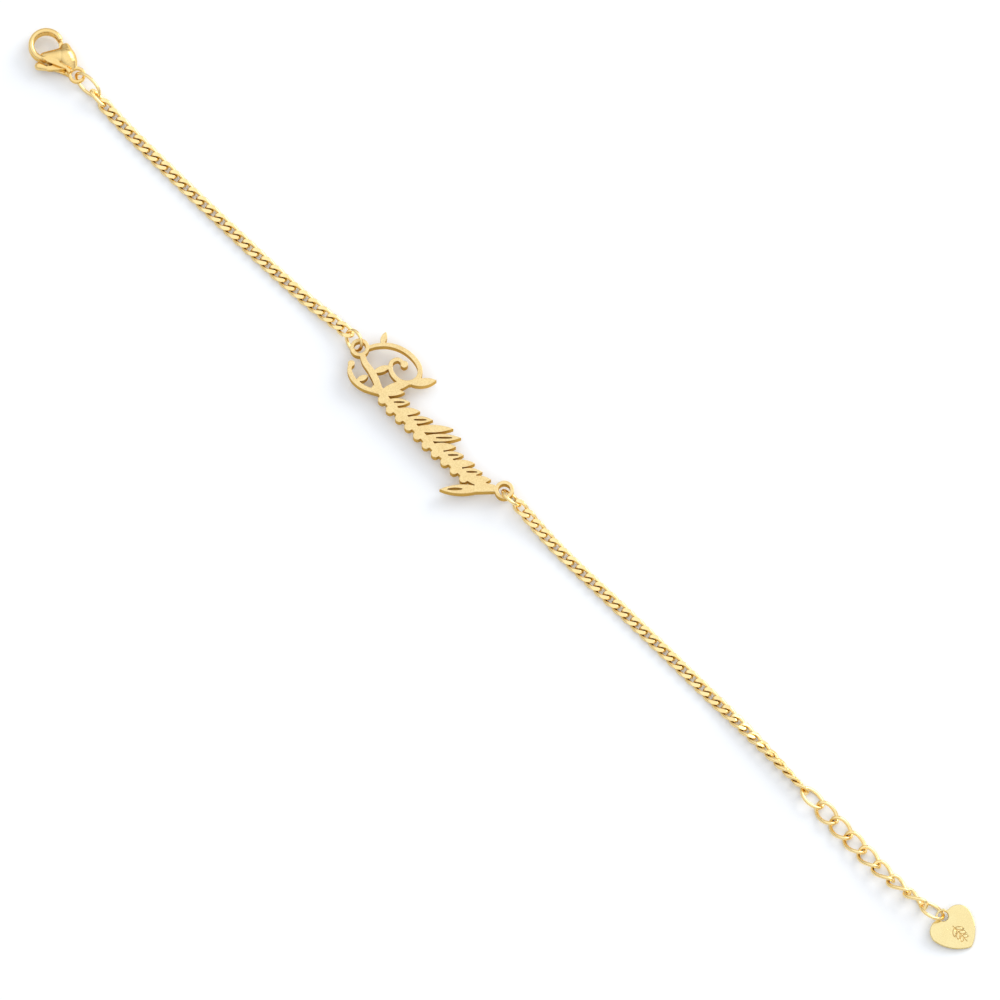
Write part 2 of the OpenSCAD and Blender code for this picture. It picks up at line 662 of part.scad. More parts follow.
// A tendril that swells from a share of its width to the whole in its middle, and ends in a round bud
SLIM = 0.72;
module tendril(points, full, bud) {
    line = smooth_line(placed(points));
    last = len(line) - 1;
    band(line, [for (i = [0 : last]) full / 2 * (SLIM + (1 - SLIM) * sin(180 * i / last))]);
    translate(line[last]) circle(d = bud, $fn = 24);
}

// The stem, a little slimmer at both ends
STEM_END = 0.8;
module stem() {
    line = smooth_line(placed(STEM));
    last = len(line) - 1;
    band(line, [for (i = [0 : last])
        stem_width / 2 * (STEM_END + (1 - STEM_END) * ease(2 - abs(4 * i / last - 2)))]);
}

function stem_at(x) = lookup(x, placed(STEM));

// Leaves stand close together above the stem, and a berry hangs under each
module vine_leaves() {
    heading = [cos(LEAF_SLANT), sin(LEAF_SLANT)];
    last = len(LEAVES) - 1;
    step = (LAST_LEAF - FIRST_LEAF) * plate_span / last;
    for (i = [0 : last]) {
        length = LEAVES[i][0] * leaf_length;
        x = FIRST_LEAF * plate_span + i * step;
        foot = [x, stem_at(x)] - LEAF_FOOT * heading;
        difference() {
            leaf(foot, length, leaf_width, LEAF_SLANT);
            if (LEAVES[i][1])
                leaf(foot + LEAF_SLIT[0] * length * heading, LEAF_SLIT[1] * length, slit_width, LEAF_SLANT);
        }
        translate([x - step / 2, stem_at(x - step / 2) - BERRY_DROP]) circle(d = berry_d, $fn = 24);
    }
}

// The long last leaf that hangs from the right eye
module tail() {
    heading = [cos(TAIL_SLANT), sin(TAIL_SLANT)];
    foot = [plate_span, 0] + TAIL_FOOT;
    length = (tail_reach + foot[1]) / -heading[1];
    share = TAIL_SHARES;
    difference() {
        union() {
            band([foot, foot + share[0] * length * heading], TAIL_STALK);
            leaf(foot + share[1] * length * heading, (1 - share[1]) * length, tail_width, TAIL_SLANT);
        }
        leaf(foot + share[2] * length * heading, share[3] * length, tail_slit, TAIL_SLANT);
    }
}

module nameplate() {
    eyes = [[0, 0], [plate_span, 0]];
    color(BRIGHT) translate([-plate_span / 2, 0, plate_z - plate_thick / 2]) difference() {
        linear_extrude(plate_thick) softened(0.06) {
            for (p = eyes) translate(p) circle(d = plate_eye_d, $fn = 64);
            stem();
            tendril(VOLUTE, scroll_stroke, VOLUTE_BUD);
            tendril(LOWER, scroll_stroke, LOWER_BUD);
            for (l = LEAFLETS) leaf(placed([l[0]])[0], l[1], l[2], l[3]);
            vine_leaves();
            tail();
        }
        for (p = eyes) translate([p[0], p[1], -1]) {
            cylinder(d = plate_eye_bore, h = plate_thick + 2);
            cylinder(d = plate_eye_d + 2 * EYE_MARGIN, h = 1 + EYE_SETBACK);
        }
    }
}

module extender_ring() {
    color(GOLD) translate(start_at) link(start_skin());
}

module extender_link(i) {
    x = extender_x(i);
    skin = open_skin(extender_roll(i), extender_lean(i));
    color(GOLD) translate([x, extender_y(x), seated(extender_course(i), skin)])
        rotate(atan(extender_y(x + 0.5) - extender_y(x - 0.5))) link(skin);
}

module tag_ring() {
    color(GOLD) translate(tag_ring_at) rotate([tag_ring_tilt, 0, tag_ring_yaw])
        round_ring(tag_ring_r, ring_wire);
}

// Tag: two lobes, two long side arcs and a tab round the bore, all about the bore
LOBE_ON = 1.65;
LOBE_SHARE = 0.275;
SIDE_TURN = 14;
tab_r = 1.15;
lobe_r = LOBE_SHARE * heart_width;
lobe_y = heart_width / 2 - lobe_r;
side_run = heart_reach - LOBE_ON;
side_more = (side_run * side_run + lobe_y * lobe_y - lobe_r * lobe_r)
    / (2 * lobe_r + 2 * lobe_y * cos(SIDE_TURN) - 2 * side_run * sin(SIDE_TURN));

module heart_outline() {
    for (s = [-1, 1]) translate([LOBE_ON, s * lobe_y]) circle(r = lobe_r, $fn = 64);
    intersection() {
        side_disc(-1);
        side_disc(1);
        translate([LOBE_ON, -heart_width]) square([heart_reach, 2 * heart_width]);
    }
    circle(r = tab_r);
}

module side_disc(s) {
    translate([LOBE_ON - side_more * sin(SIDE_TURN), s * (lobe_y - side_more * cos(SIDE_TURN))])
        circle(r = side_more + lobe_r, $fn = 160);
}

// Engraving: a sprig of paired leaves on a stalk. Each leaf is an outline, one line wide.
SPRIG_START = 2;
SPRIG_LENGTH = 3.1;
SPRIG_LEAVES = [[2.35, 1.5], [3.15, 1.25], [3.95, 1]];
SPRIG_WIDTH = 0.6;
SPRIG_SLANT = 42;
module sprig() {
    heading = engrave_line * [cos(SPRIG_SLANT), sin(SPRIG_SLANT)];
    translate([SPRIG_START, -engrave_line / 2]) square([SPRIG_LENGTH, engrave_line]);
    for (l = SPRIG_LEAVES)
        for (s = [-1, 1])
            difference() {
                leaf([l[0], 0], l[1], SPRIG_WIDTH, s * SPRIG_SLANT);
                leaf([l[0] + heading[0], s * heading[1]], l[1] - 2 * engrave_line,
                    SPRIG_WIDTH - 1.6 * engrave_line, s * SPRIG_SLANT);
            }
}

module heart_tag() {
    color(BRIGHT) translate(heart_at) rotate([0, heart_slope, 0]) difference() {
        translate([0, 0, -heart_thick / 2])
            linear_extrude(heart_thick) softened(0.25) heart_outline();
        cylinder(d = heart_bore, h = 4 * heart_thick, center = true);
        translate([0, 0, heart_thick / 2 - engrave_depth])
            linear_extrude(2 * engrave_depth) sprig();
    }
}

translate(shift) {
    clasp_body();
    clasp_lever();
    clasp_pin();
    clasp_ring();
    left_chain();
    left_ring();
    nameplate();
    right_ring();
    right_chain();
    extender_ring();
    for (i = [1 : extender_links])
        extender_link(i - 1);
    tag_ring();
    heart_tag();
}
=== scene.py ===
# %% [markdown]
# # A fine nameplate bracelet, laid out open
#
# The bracelet lies almost straight on a white table: a lobster clasp, a curb chain, a pierced plate, a
# second chain, an extender of open links and a small heart-shaped tag. Its solids come from a CAD model
# that also knows how the clasp's lever moves. This script loads them, gives each piece the smooth form and
# the gold finish of the real one, and sets up the light and the camera. Lengths are metres, as in Blender.

# %% Load the frame
import json
import math

import bmesh
import bpy
import numpy as np
from mathutils import Matrix, Vector
from mathutils.bvhtree import BVHTree

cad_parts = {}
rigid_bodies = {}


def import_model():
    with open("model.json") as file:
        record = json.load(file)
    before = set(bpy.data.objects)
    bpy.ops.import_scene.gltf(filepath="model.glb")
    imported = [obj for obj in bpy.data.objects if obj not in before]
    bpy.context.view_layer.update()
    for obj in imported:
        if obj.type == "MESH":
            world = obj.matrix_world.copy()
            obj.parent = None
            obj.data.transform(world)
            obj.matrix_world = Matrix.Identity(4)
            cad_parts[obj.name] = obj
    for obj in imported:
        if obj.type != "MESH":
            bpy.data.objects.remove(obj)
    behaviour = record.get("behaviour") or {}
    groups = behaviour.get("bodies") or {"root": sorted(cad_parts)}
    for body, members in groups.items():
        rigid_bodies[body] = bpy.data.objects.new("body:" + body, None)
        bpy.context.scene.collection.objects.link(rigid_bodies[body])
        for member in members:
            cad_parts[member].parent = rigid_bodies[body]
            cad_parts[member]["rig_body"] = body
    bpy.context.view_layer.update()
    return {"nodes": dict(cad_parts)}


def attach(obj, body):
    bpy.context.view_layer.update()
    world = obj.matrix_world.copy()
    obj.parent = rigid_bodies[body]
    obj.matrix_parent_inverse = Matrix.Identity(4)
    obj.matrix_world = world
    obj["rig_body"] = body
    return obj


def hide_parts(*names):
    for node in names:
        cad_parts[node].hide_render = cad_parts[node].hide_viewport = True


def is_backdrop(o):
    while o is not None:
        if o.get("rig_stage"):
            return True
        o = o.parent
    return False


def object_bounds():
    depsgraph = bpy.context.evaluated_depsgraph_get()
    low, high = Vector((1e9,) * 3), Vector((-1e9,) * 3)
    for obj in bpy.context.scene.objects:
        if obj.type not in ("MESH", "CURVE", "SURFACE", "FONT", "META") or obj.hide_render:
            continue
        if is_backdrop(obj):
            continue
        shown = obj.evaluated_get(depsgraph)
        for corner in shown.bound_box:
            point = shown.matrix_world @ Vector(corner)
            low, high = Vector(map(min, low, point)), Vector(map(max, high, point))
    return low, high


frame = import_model()
nodes = frame["nodes"]
MM = 0.001

# %% [markdown]
# ## The view
#
# A product photograph of something this small is taken from far away with a long lens, so that both ends of
# the bracelet are drawn to the same scale. The camera looks down at 70 degrees and is turned so that the
# bracelet runs from the upper left to the lower right of the picture.

# %% Camera
VIEW_WIDTH = 146 * MM
AZIMUTH = math.radians(46.33)
ELEVATION = math.radians(70)
LENS_MM = 1500
AIM = Vector((1.215, -0.33, 1.0)) * MM

camera_data = bpy.data.cameras.new("camera")
camera_data.lens = LENS_MM
camera_data.sensor_width = 36
camera_data.clip_end = 50
camera = bpy.data.objects.new("camera", camera_data)
bpy.context.scene.collection.objects.link(camera)
back = Vector((
    math.sin(AZIMUTH) * math.cos(ELEVATION),
    -math.cos(AZIMUTH) * math.cos(ELEVATION),
    math.sin(ELEVATION),
))
camera.location = AIM + back * VIEW_WIDTH * LENS_MM / camera_data.sensor_width
camera.rotation_mode = "QUATERNION"
camera.rotation_quaternion = (-back).to_track_quat("-Z", "Y")
bpy.context.scene.camera = camera
print("camera stands off by", round((camera.location - AIM).length, 2), "m")

# %% [markdown]
# ## Small helpers
#
# A CAD solid arrives as loose triangles. To work on its form, a copy is made and its doubled corners are
# merged. Very small things are easier to handle in millimetres, because some of Blender's tools have a least
# size, so the helpers work in millimetres and `finished` brings the result back to metres.


# %% Helpers for meshes
WELD = 0.0005


def welded(name):
    """A merged copy of a CAD solid as a bmesh, in millimetres."""
    bm = bmesh.new()
    bm.from_mesh(nodes[name].data)
    bmesh.ops.scale(bm, vec=(1 / MM, 1 / MM, 1 / MM), verts=bm.verts)
    bmesh.ops.remove_doubles(bm, verts=bm.verts, dist=WELD)
    return bm


def object_from(bm, name):
    """A new object that holds the bmesh."""
    mesh = bpy.data.meshes.new(name)
    bm.to_mesh(mesh)
    bm.free()
    piece = bpy.data.objects.new(name, mesh)
    bpy.context.scene.collection.objects.link(piece)
    return piece


def evaluated(piece):
    """The piece with its modifiers turned into plain mesh."""
    bpy.context.view_layer.update()
    graph = bpy.context.evaluated_depsgraph_get()
    mesh = bpy.data.meshes.new_from_object(piece.evaluated_get(graph), depsgraph=graph)
    if piece.type != "MESH":
        name, old = piece.name, piece
        piece = bpy.data.objects.new(name + "_mesh", mesh)
        bpy.context.scene.collection.objects.link(piece)
        bpy.data.objects.remove(old)
        piece.name = name
        return piece
    piece.modifiers.clear()
    piece.data = mesh
    return piece


def finished(piece, material, *stands_for):
    """From millimetres to metres; the piece then rides with the solids that it stands for."""
    piece.data.transform(Matrix.Scale(MM, 4))
    if not piece.data.materials:
        piece.data.materials.append(material)
    piece.data.materials[0] = material
    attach(piece, nodes[stands_for[0]]["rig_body"])
    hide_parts(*stands_for)
    print(piece.name, "has", sum(len(p.vertices) - 2 for p in piece.data.polygons), "triangles")


# %% [markdown]
# ## Gold finishes
#
# Every piece is the same pale yellow gold, but it is finished in four ways. The clasp and the wires are
# polished, so they mirror the white table and the lamp. The plate's face is blasted to a fine sandy satin.
# The tag is polished and then handled, so it shows the softest haze, and its engraved lines are left matt.
# Three effects are shared by all of them: a fine grain that breaks the gloss, slow patches of a deeper tone,
# and a brown painted shade in the hollows, standing in for the shade there and the dark gold they mirror.
# Each effect is built once in a group of shader nodes, and every gold uses the groups with its own values.


# %% Helpers for node trees
def socket(group, name, kind, direction, value=None):
    """A named input or output on the outside of a group."""
    made = group.interface.new_socket(name=name, in_out=direction, socket_type=kind)
    if value is not None:
        made.default_value = value
    return made


def feed(group, into, value):
    """A number or a colour is set on a socket; another node's output is wired to it."""
    if isinstance(value, bpy.types.NodeSocket):
        group.links.new(value, into)
    else:
        into.default_value = value


def math_node(group, operation, *values):
    """A Math node with these inputs; returns its output."""
    node = group.nodes.new("ShaderNodeMath")
    node.operation = operation
    for value, into in zip(values, node.inputs):
        feed(group, into, value)
    return node.outputs[0]


def vector_node(group, operation, *values):
    """The same for a Vector Math node."""
    node = group.nodes.new("ShaderNodeVectorMath")
    node.operation = operation
    for value, into in zip(values, [s for s in node.inputs if s.enabled]):
        feed(group, into, value)
    return node.outputs["Value" if operation == "DOT_PRODUCT" else "Vector"]


# %% Helpers for patterns
def place_in_mm(group):
    """Where a point lies on its piece, in millimetres."""
    where = group.nodes.new("ShaderNodeTexCoord")
    return vector_node(group, "SCALE", where.outputs["Object"], 1 / MM)


def noise(group, place, per_mm, detail):
    """A pattern of soft spots, so many to a millimetre."""
    made = group.nodes.new("ShaderNodeTexNoise")
    made.inputs["Detail"].default_value = detail
    group.links.new(place, made.inputs["Vector"])
    feed(group, made.inputs["Scale"], per_mm)
    return made.outputs["Fac"]


def stretched(group, value, low, high, to_low=0.0, to_high=1.0):
    """A value whose range from low to high is stretched over another range."""
    made = group.nodes.new("ShaderNodeMapRange")
    group.links.new(value, made.inputs["Value"])
    for name, limit in (("From Min", low), ("From Max", high), ("To Min", to_low), ("To Max", to_high)):
        feed(group, made.inputs[name], limit)
    return made.outputs["Result"]


def mixed(group, share, first, second, blend="MIX"):
    """Two colours, mixed or multiplied by a share."""
    made = group.nodes.new("ShaderNodeMix")
    made.data_type = "RGBA"
    made.blend_type = blend
    for name, value in (("Factor", share), ("A", first), ("B", second)):
        feed(group, made.inputs[name], value)
    return made.outputs["Result"]


# %% A shader group for grain
WAVES_PER_MM = 0.7


def build_grain():
    """Fine scratches and soft waves of polish: a roughness and a height that change over the surface."""
    group = bpy.data.node_groups.new("polish_grain", "ShaderNodeTree")
    for name, value in (("Grain per mm", 8.0), ("Smoothest", 0.1), ("Roughest", 0.2)):
        socket(group, name, "NodeSocketFloat", "INPUT", value)
    socket(group, "Roughness", "NodeSocketFloat", "OUTPUT")
    socket(group, "Height", "NodeSocketFloat", "OUTPUT")
    given = group.nodes.new("NodeGroupInput").outputs
    out = group.nodes.new("NodeGroupOutput").inputs

    place = place_in_mm(group)
    grain = noise(group, place, given["Grain per mm"], 4)
    waves = noise(group, place, WAVES_PER_MM, 2)
    both = math_node(group, "MULTIPLY", grain, waves)
    feed(group, out["Roughness"], stretched(group, both, 0.12, 0.42, given["Smoothest"], given["Roughest"]))
    feed(group, out["Height"], grain)
    return group


GRAIN = build_grain()
print("the grain group has", len(GRAIN.nodes), "nodes")


# %% A shader group for the tone of the gold
# The painted shade begins where a place is closed in by the first share, and is full brown at the second.
SHADE_FROM, SHADE_FULL = 0.22, 0.62
SPECKLES_PER_MM = 6
SPECKLE_SHADE = (0.7, 0.62, 0.5, 1)


def build_tone():
    """The gold's colour: speckled, a little deeper in slow patches, and a painted brown shade in a piece's
    hollows.
    """
    group = bpy.data.node_groups.new("gold_tone", "ShaderNodeTree")
    for name in ("Bright", "Deep", "Hollow"):
        socket(group, name, "NodeSocketColor", "INPUT", (0.9, 0.7, 0.35, 1))
    socket(group, "Patches per mm", "NodeSocketFloat", "INPUT", 0.5)
    socket(group, "Speckle", "NodeSocketFloat", "INPUT", 0.1)
    socket(group, "Colour", "NodeSocketColor", "OUTPUT")
    given = group.nodes.new("NodeGroupInput").outputs
    out = group.nodes.new("NodeGroupOutput").inputs

    place = place_in_mm(group)
    patches = stretched(group, noise(group, place, given["Patches per mm"], 3), 0.35, 0.75)
    patchy = mixed(group, patches, given["Bright"], given["Deep"])

    # Speckles darken the colour by up to their share
    speckles = stretched(group, noise(group, place, SPECKLES_PER_MM, 3), 0.35, 0.7)
    share = math_node(group, "MULTIPLY", speckles, given["Speckle"])
    speckled = mixed(group, share, patchy, SPECKLE_SHADE, "MULTIPLY")

    # Painted shade in the hollows, from the attribute that the map of hollows stores on a piece
    closed = group.nodes.new("ShaderNodeAttribute")
    closed.attribute_name = "hollow_shade"
    shade_share = stretched(group, closed.outputs["Fac"], SHADE_FROM, SHADE_FULL)
    feed(group, out["Colour"], mixed(group, shade_share, speckled, given["Hollow"]))
    return group


TONE = build_tone()
print("the tone group has", len(TONE.nodes), "nodes")


# %% How a gold is put together
EDGE_TINT = (1, 0.8, 0.4, 1)


def placed(tree, group, **values):
    """The group as a node in a material, with these values for its named inputs."""
    node = tree.nodes.new("ShaderNodeGroup")
    node.node_tree = group
    for name, value in values.items():
        node.inputs[name.replace("_", " ")].default_value = value
    return node.outputs


def gold(name, bright, deep, hollow_shade, smooth, rough, grain_per_mm, relief_mm, speckle=0.1):
    """A gold whose roughness runs from smooth to rough, with a relief of that many millimetres."""
    material = bpy.data.materials.new(name)
    material.use_nodes = True
    tree = material.node_tree
    tone = placed(tree, TONE, Bright=(*bright, 1), Deep=(*deep, 1), Hollow=(*hollow_shade, 1), Speckle=speckle)
    grain = placed(tree, GRAIN, Grain_per_mm=grain_per_mm, Smoothest=smooth, Roughest=rough)
    bump = tree.nodes.new("ShaderNodeBump")
    bump.inputs["Strength"].default_value = 1
    bump.inputs["Distance"].default_value = relief_mm * MM
    feed(tree, bump.inputs["Height"], grain["Height"])

    shader = tree.nodes["Principled BSDF"].inputs
    shader["Metallic"].default_value = 1
    shader["Specular Tint"].default_value = EDGE_TINT
    feed(tree, shader["Base Color"], tone["Colour"])
    feed(tree, shader["Roughness"], grain["Roughness"])
    feed(tree, shader["Normal"], bump.outputs["Normal"])
    print(name, "roughness", smooth, "to", rough)
    return material


# %% The four finishes, and the matt lines
# The two browns are painted shade. The tone group lays them where the map of hollows marks a place as closed
# in.
SHADE_BROWN, PLATE_SHADE_BROWN = (0.4, 0.21, 0.01), (0.55, 0.29, 0.02)
clasp_finish = gold("polished_clasp", (0.92, 0.69, 0.31), (0.87, 0.6, 0.23), SHADE_BROWN,
                    smooth=0.19, rough=0.31, grain_per_mm=6, relief_mm=0.002)
wire_finish = gold("polished_wire", (0.99, 0.78, 0.39), (0.97, 0.73, 0.33), SHADE_BROWN,
                   smooth=0.1, rough=0.2, grain_per_mm=8, relief_mm=0.002)
plate_finish = gold("satin_plate", (0.92, 0.73, 0.38), (0.88, 0.67, 0.33), PLATE_SHADE_BROWN,
                    smooth=0.34, rough=0.46, grain_per_mm=5, relief_mm=0.03, speckle=0.55)
tag_finish = gold("handled_tag", (0.89, 0.75, 0.39), (0.87, 0.71, 0.35), SHADE_BROWN,
                  smooth=0.16, rough=0.28, grain_per_mm=5, relief_mm=0.006, speckle=0.2)
engraved_finish = gold("engraved_line", (0.8, 0.58, 0.24), (0.7, 0.48, 0.18), SHADE_BROWN,
                       smooth=0.5, rough=0.6, grain_per_mm=12, relief_mm=0.004)

# %% [markdown]
# ## Painted shade in the hollows
#
# Deep between two links, in a slit of the plate or in the clasp's slot, gold looks brown in shade, and that
# shade is painted. A map of such places is worked out once for each piece: from each corner, short rays go
# out all round its normal, and the share that soon meets metal again is stored as an attribute, which the
# gold's material reads to paint a brown shade there.


# %% The rays
RAY_COUNT = 12
GOLDEN_ANGLE = math.pi * (3 - math.sqrt(5))
FAN = []
for i in range(RAY_COUNT):
    low = (i + 0.5) / RAY_COUNT
    FAN.append(Vector((
        math.sqrt(low) * math.cos(i * GOLDEN_ANGLE),
        math.sqrt(low) * math.sin(i * GOLDEN_ANGLE),
        math.sqrt(1 - low),
    )))
print(RAY_COUNT, "rays, the lowest at", round(math.degrees(math.asin(FAN[-1].z))), "degrees to the surface")


# %% A map of the hollows, for painted shade
# Rays start RAY_LIFT millimetres off the metal, and on a sheet they start a share INWARD of the way to the
# middle of the face. The third number is how closed in an upright cut wall counts at least, which paints it
# a darker shade than the face.
RAY_LIFT = 0.02
INWARD = 0.05
WALL_SHADE = 0.48


def closed_in(tree, place, normal, reach):
    """How much of a place's outlook metal closes off within that many millimetres, from 0 to 1."""
    turn = normal.to_track_quat("Z", "Y").to_matrix()
    start = place + normal * RAY_LIFT
    met = 0
    for ray in FAN:
        distance = tree.ray_cast(start, turn @ ray, reach)[3]
        if distance is not None:
            met += 1 - distance / reach
    return met / RAY_COUNT


def mark_hollow_shade(piece, reach, by_face=False):
    """Stores the map on a piece in millimetres. A sheet is marked by face: its flat face stays 0, and its
    cut walls count as a little closed in from the start, which paints them a darker shade than the face."""
    mesh = piece.data
    corners = [v.co.copy() for v in mesh.vertices]
    tree = BVHTree.FromPolygons(corners, [tuple(p.vertices) for p in mesh.polygons])
    marks = mesh.attributes.new("hollow_shade", "FLOAT", "CORNER" if by_face else "POINT")
    if by_face:
        for face in mesh.polygons:
            # Upright walls get a floor of painted shade, so they are darker than the flat face.
            least = WALL_SHADE * (1 - abs(face.normal.z))
            for at in face.loop_indices:
                place = corners[mesh.loops[at].vertex_index].lerp(face.center, INWARD)
                marks.data[at].value = max(least, closed_in(tree, place, face.normal, reach))
    else:
        for vert in mesh.vertices:
            marks.data[vert.index].value = closed_in(tree, vert.co, vert.normal, reach)
    print(piece.name, "is marked at", len(marks.data), "corners")


# %% [markdown]
# ## Links of wire
#
# A chain repeats one link, so it is made with Geometry Nodes: a tree bends one wire into a link and puts a
# copy at each place. A curb link is an oval whose two ends are twisted against each other, and whose top and
# bottom are ground flat. The same tree, untwisted and unground, makes the oval and round jump rings. It is
# built in four steps, each in a cell of its own: the oval, the wire's skin, the flats and the copies. Where
# each link lies, and how it is turned, is read from the CAD solids: a link's three axes of symmetry are the
# axes along which its corners spread most, less and least.


# %% Read where each link lies
def loose_parts(bm):
    """The separate links of a welded solid, each as an array of its corners, from -X to +X."""
    seen, parts = set(), []
    for start in bm.verts:
        if start in seen:
            continue
        part, edge = [], [start]
        seen.add(start)
        while edge:
            vert = edge.pop()
            part.append(vert.co[:])
            for line in vert.link_edges:
                other = line.other_vert(vert)
                if other not in seen:
                    seen.add(other)
                    edge.append(other)
        parts.append(np.array(part))
    return sorted(parts, key=lambda p: p[:, 0].mean())


def lie_of(corners):
    """Middle of a link, and its turn as Euler angles."""
    middle = corners.mean(axis=0)
    spread = (corners - middle).T @ (corners - middle)
    axes = np.linalg.eigh(spread)[1]
    along, up = axes[:, 2], axes[:, 0]
    along = along if along[0] > 0 else -along
    up = up if up[2] > 0 else -up
    turn = Matrix((along, np.cross(up, along), up)).transposed()
    return middle, turn.to_euler()


def link_places(*names):
    """The lie of every link in the named solids."""
    places = []
    for name in names:
        bm = welded(name)
        places += [lie_of(part) for part in loose_parts(bm)]
        bm.free()
    return places


left_places = link_places("left_chain")
right_places = link_places("right_chain")
extender_names = sorted(n for n in nodes if n.startswith("extender_link"))
extender_places = link_places(*extender_names)
print(len(left_places), "and", len(right_places), "curb links,", len(extender_places), "open links")


# %% The oval that a link's wire follows
def bend_oval(tree, given):
    """A unit circle, stretched, squared and twisted. It also gives each point's upper side, which the twist
    turns with it, and how far along the link the point lies, from -1 to 1."""
    make, wire = tree.nodes.new, tree.links.new
    circle = make("GeometryNodeCurvePrimitiveCircle")
    wire(given["Steps along"], circle.inputs["Resolution"])
    on_circle = make("ShaderNodeSeparateXYZ")
    wire(make("GeometryNodeInputPosition").outputs[0], on_circle.inputs[0])

    def squared(value, half):
        size = math_node(tree, "POWER", math_node(tree, "ABSOLUTE", value), given["Squareness"])
        signed = math_node(tree, "MULTIPLY", size, math_node(tree, "SIGN", value))
        return math_node(tree, "MULTIPLY", signed, half)

    x = squared(on_circle.outputs["X"], given["Half length"])
    y = squared(on_circle.outputs["Y"], given["Half width"])
    along = math_node(tree, "DIVIDE", x, given["Half length"])
    angle = math_node(tree, "MULTIPLY", math_node(tree, "MULTIPLY", along, given["Twist"]), -1)
    cosine, sine = math_node(tree, "COSINE", angle), math_node(tree, "SINE", angle)
    bent, upper = make("ShaderNodeCombineXYZ"), make("ShaderNodeCombineXYZ")
    wire(x, bent.inputs["X"])
    wire(math_node(tree, "MULTIPLY", y, cosine), bent.inputs["Y"])
    wire(math_node(tree, "MULTIPLY", y, sine), bent.inputs["Z"])
    wire(math_node(tree, "MULTIPLY", sine, -1), upper.inputs["Y"])
    wire(cosine, upper.inputs["Z"])

    # The values are captured before the points move, because they are worked out from the circle
    kept = make("GeometryNodeCaptureAttribute")
    kept.capture_items.new("VECTOR", "Upper")
    kept.capture_items.new("FLOAT", "Along")
    wire(circle.outputs[0], kept.inputs["Geometry"])
    wire(upper.outputs[0], kept.inputs["Upper"])
    wire(along, kept.inputs["Along"])
    oval = make("GeometryNodeSetPosition")
    wire(kept.outputs["Geometry"], oval.inputs["Geometry"])
    wire(bent.outputs[0], oval.inputs["Position"])
    return oval.outputs[0], kept.outputs["Upper"], kept.outputs["Along"]


# %% The wire's skin
def skin_wire(tree, given, oval, upper, along):
    """A round wire along the oval, broadened across the link towards the link's ends."""
    make, wire = tree.nodes.new, tree.links.new
    tangent = make("GeometryNodeInputTangent").outputs[0]
    across = vector_node(tree, "NORMALIZE", vector_node(tree, "CROSS_PRODUCT", tangent, upper))
    kept = make("GeometryNodeCaptureAttribute")
    for kind, name in (("VECTOR", "Middle"), ("VECTOR", "Across"), ("FLOAT", "End")):
        kept.capture_items.new(kind, name)
    wire(oval, kept.inputs["Geometry"])
    wire(make("GeometryNodeInputPosition").outputs[0], kept.inputs["Middle"])
    wire(across, kept.inputs["Across"])
    wire(math_node(tree, "MULTIPLY", along, along), kept.inputs["End"])

    profile = make("GeometryNodeCurvePrimitiveCircle")
    wire(given["Sides"], profile.inputs["Resolution"])
    wire(math_node(tree, "MULTIPLY", given["Wire"], 0.5), profile.inputs["Radius"])
    skin = make("GeometryNodeCurveToMesh")
    wire(kept.outputs["Geometry"], skin.inputs["Curve"])
    wire(profile.outputs[0], skin.inputs["Profile Curve"])

    here = make("GeometryNodeInputPosition").outputs[0]
    off_middle = vector_node(tree, "SUBTRACT", here, kept.outputs["Middle"])
    out_by = vector_node(tree, "DOT_PRODUCT", off_middle, kept.outputs["Across"])
    growth = math_node(tree, "MULTIPLY", kept.outputs["End"], given["Broader ends"])
    more = math_node(tree, "MULTIPLY", growth, out_by)
    broad = make("GeometryNodeSetPosition")
    wire(skin.outputs[0], broad.inputs["Geometry"])
    wire(vector_node(tree, "SCALE", kept.outputs["Across"], more), broad.inputs["Offset"])
    return broad.outputs[0]


# %% The flats
CRISP_ANGLE = math.radians(28)


def ground_flat(tree, given, link):
    """The link ground flat above and below, and shaded smooth but for crisp edges round the flats."""
    make, wire = tree.nodes.new, tree.links.new
    before, after = make("ShaderNodeSeparateXYZ"), make("ShaderNodeCombineXYZ")
    wire(make("GeometryNodeInputPosition").outputs[0], before.inputs[0])
    wire(before.outputs["X"], after.inputs["X"])
    wire(before.outputs["Y"], after.inputs["Y"])
    below = math_node(tree, "MULTIPLY", given["Ground to"], -1)
    capped = math_node(tree, "MINIMUM", before.outputs["Z"], given["Ground to"])
    wire(math_node(tree, "MAXIMUM", capped, below), after.inputs["Z"])
    flat = make("GeometryNodeSetPosition")
    wire(link, flat.inputs["Geometry"])
    wire(after.outputs[0], flat.inputs["Position"])

    smooth, crisp = make("GeometryNodeSetShadeSmooth"), make("GeometryNodeSetShadeSmooth")
    wire(flat.outputs[0], smooth.inputs["Geometry"])
    crisp.domain = "EDGE"
    crisp.inputs["Shade Smooth"].default_value = False
    bend = make("GeometryNodeInputMeshEdgeAngle").outputs["Unsigned Angle"]
    wire(smooth.outputs[0], crisp.inputs["Geometry"])
    wire(math_node(tree, "GREATER_THAN", bend, CRISP_ANGLE), crisp.inputs["Selection"])
    return crisp.outputs[0]


# %% Copies of the link
def copied_to_places(tree, given, link):
    """One link at each place, turned as the place's attribute says, made real and given its finish."""
    make, wire = tree.nodes.new, tree.links.new
    turn = make("GeometryNodeInputNamedAttribute")
    turn.data_type = "FLOAT_VECTOR"
    turn.inputs["Name"].default_value = "turn"
    turned = make("FunctionNodeEulerToRotation")
    wire(turn.outputs["Attribute"], turned.inputs[0])
    copies = make("GeometryNodeInstanceOnPoints")
    wire(given["Places"], copies.inputs["Points"])
    wire(link, copies.inputs["Instance"])
    wire(turned.outputs[0], copies.inputs["Rotation"])
    real = make("GeometryNodeRealizeInstances")
    wire(copies.outputs[0], real.inputs[0])
    finish = make("GeometryNodeSetMaterial")
    wire(real.outputs[0], finish.inputs["Geometry"])
    wire(given["Finish"], finish.inputs["Material"])
    return finish.outputs[0]


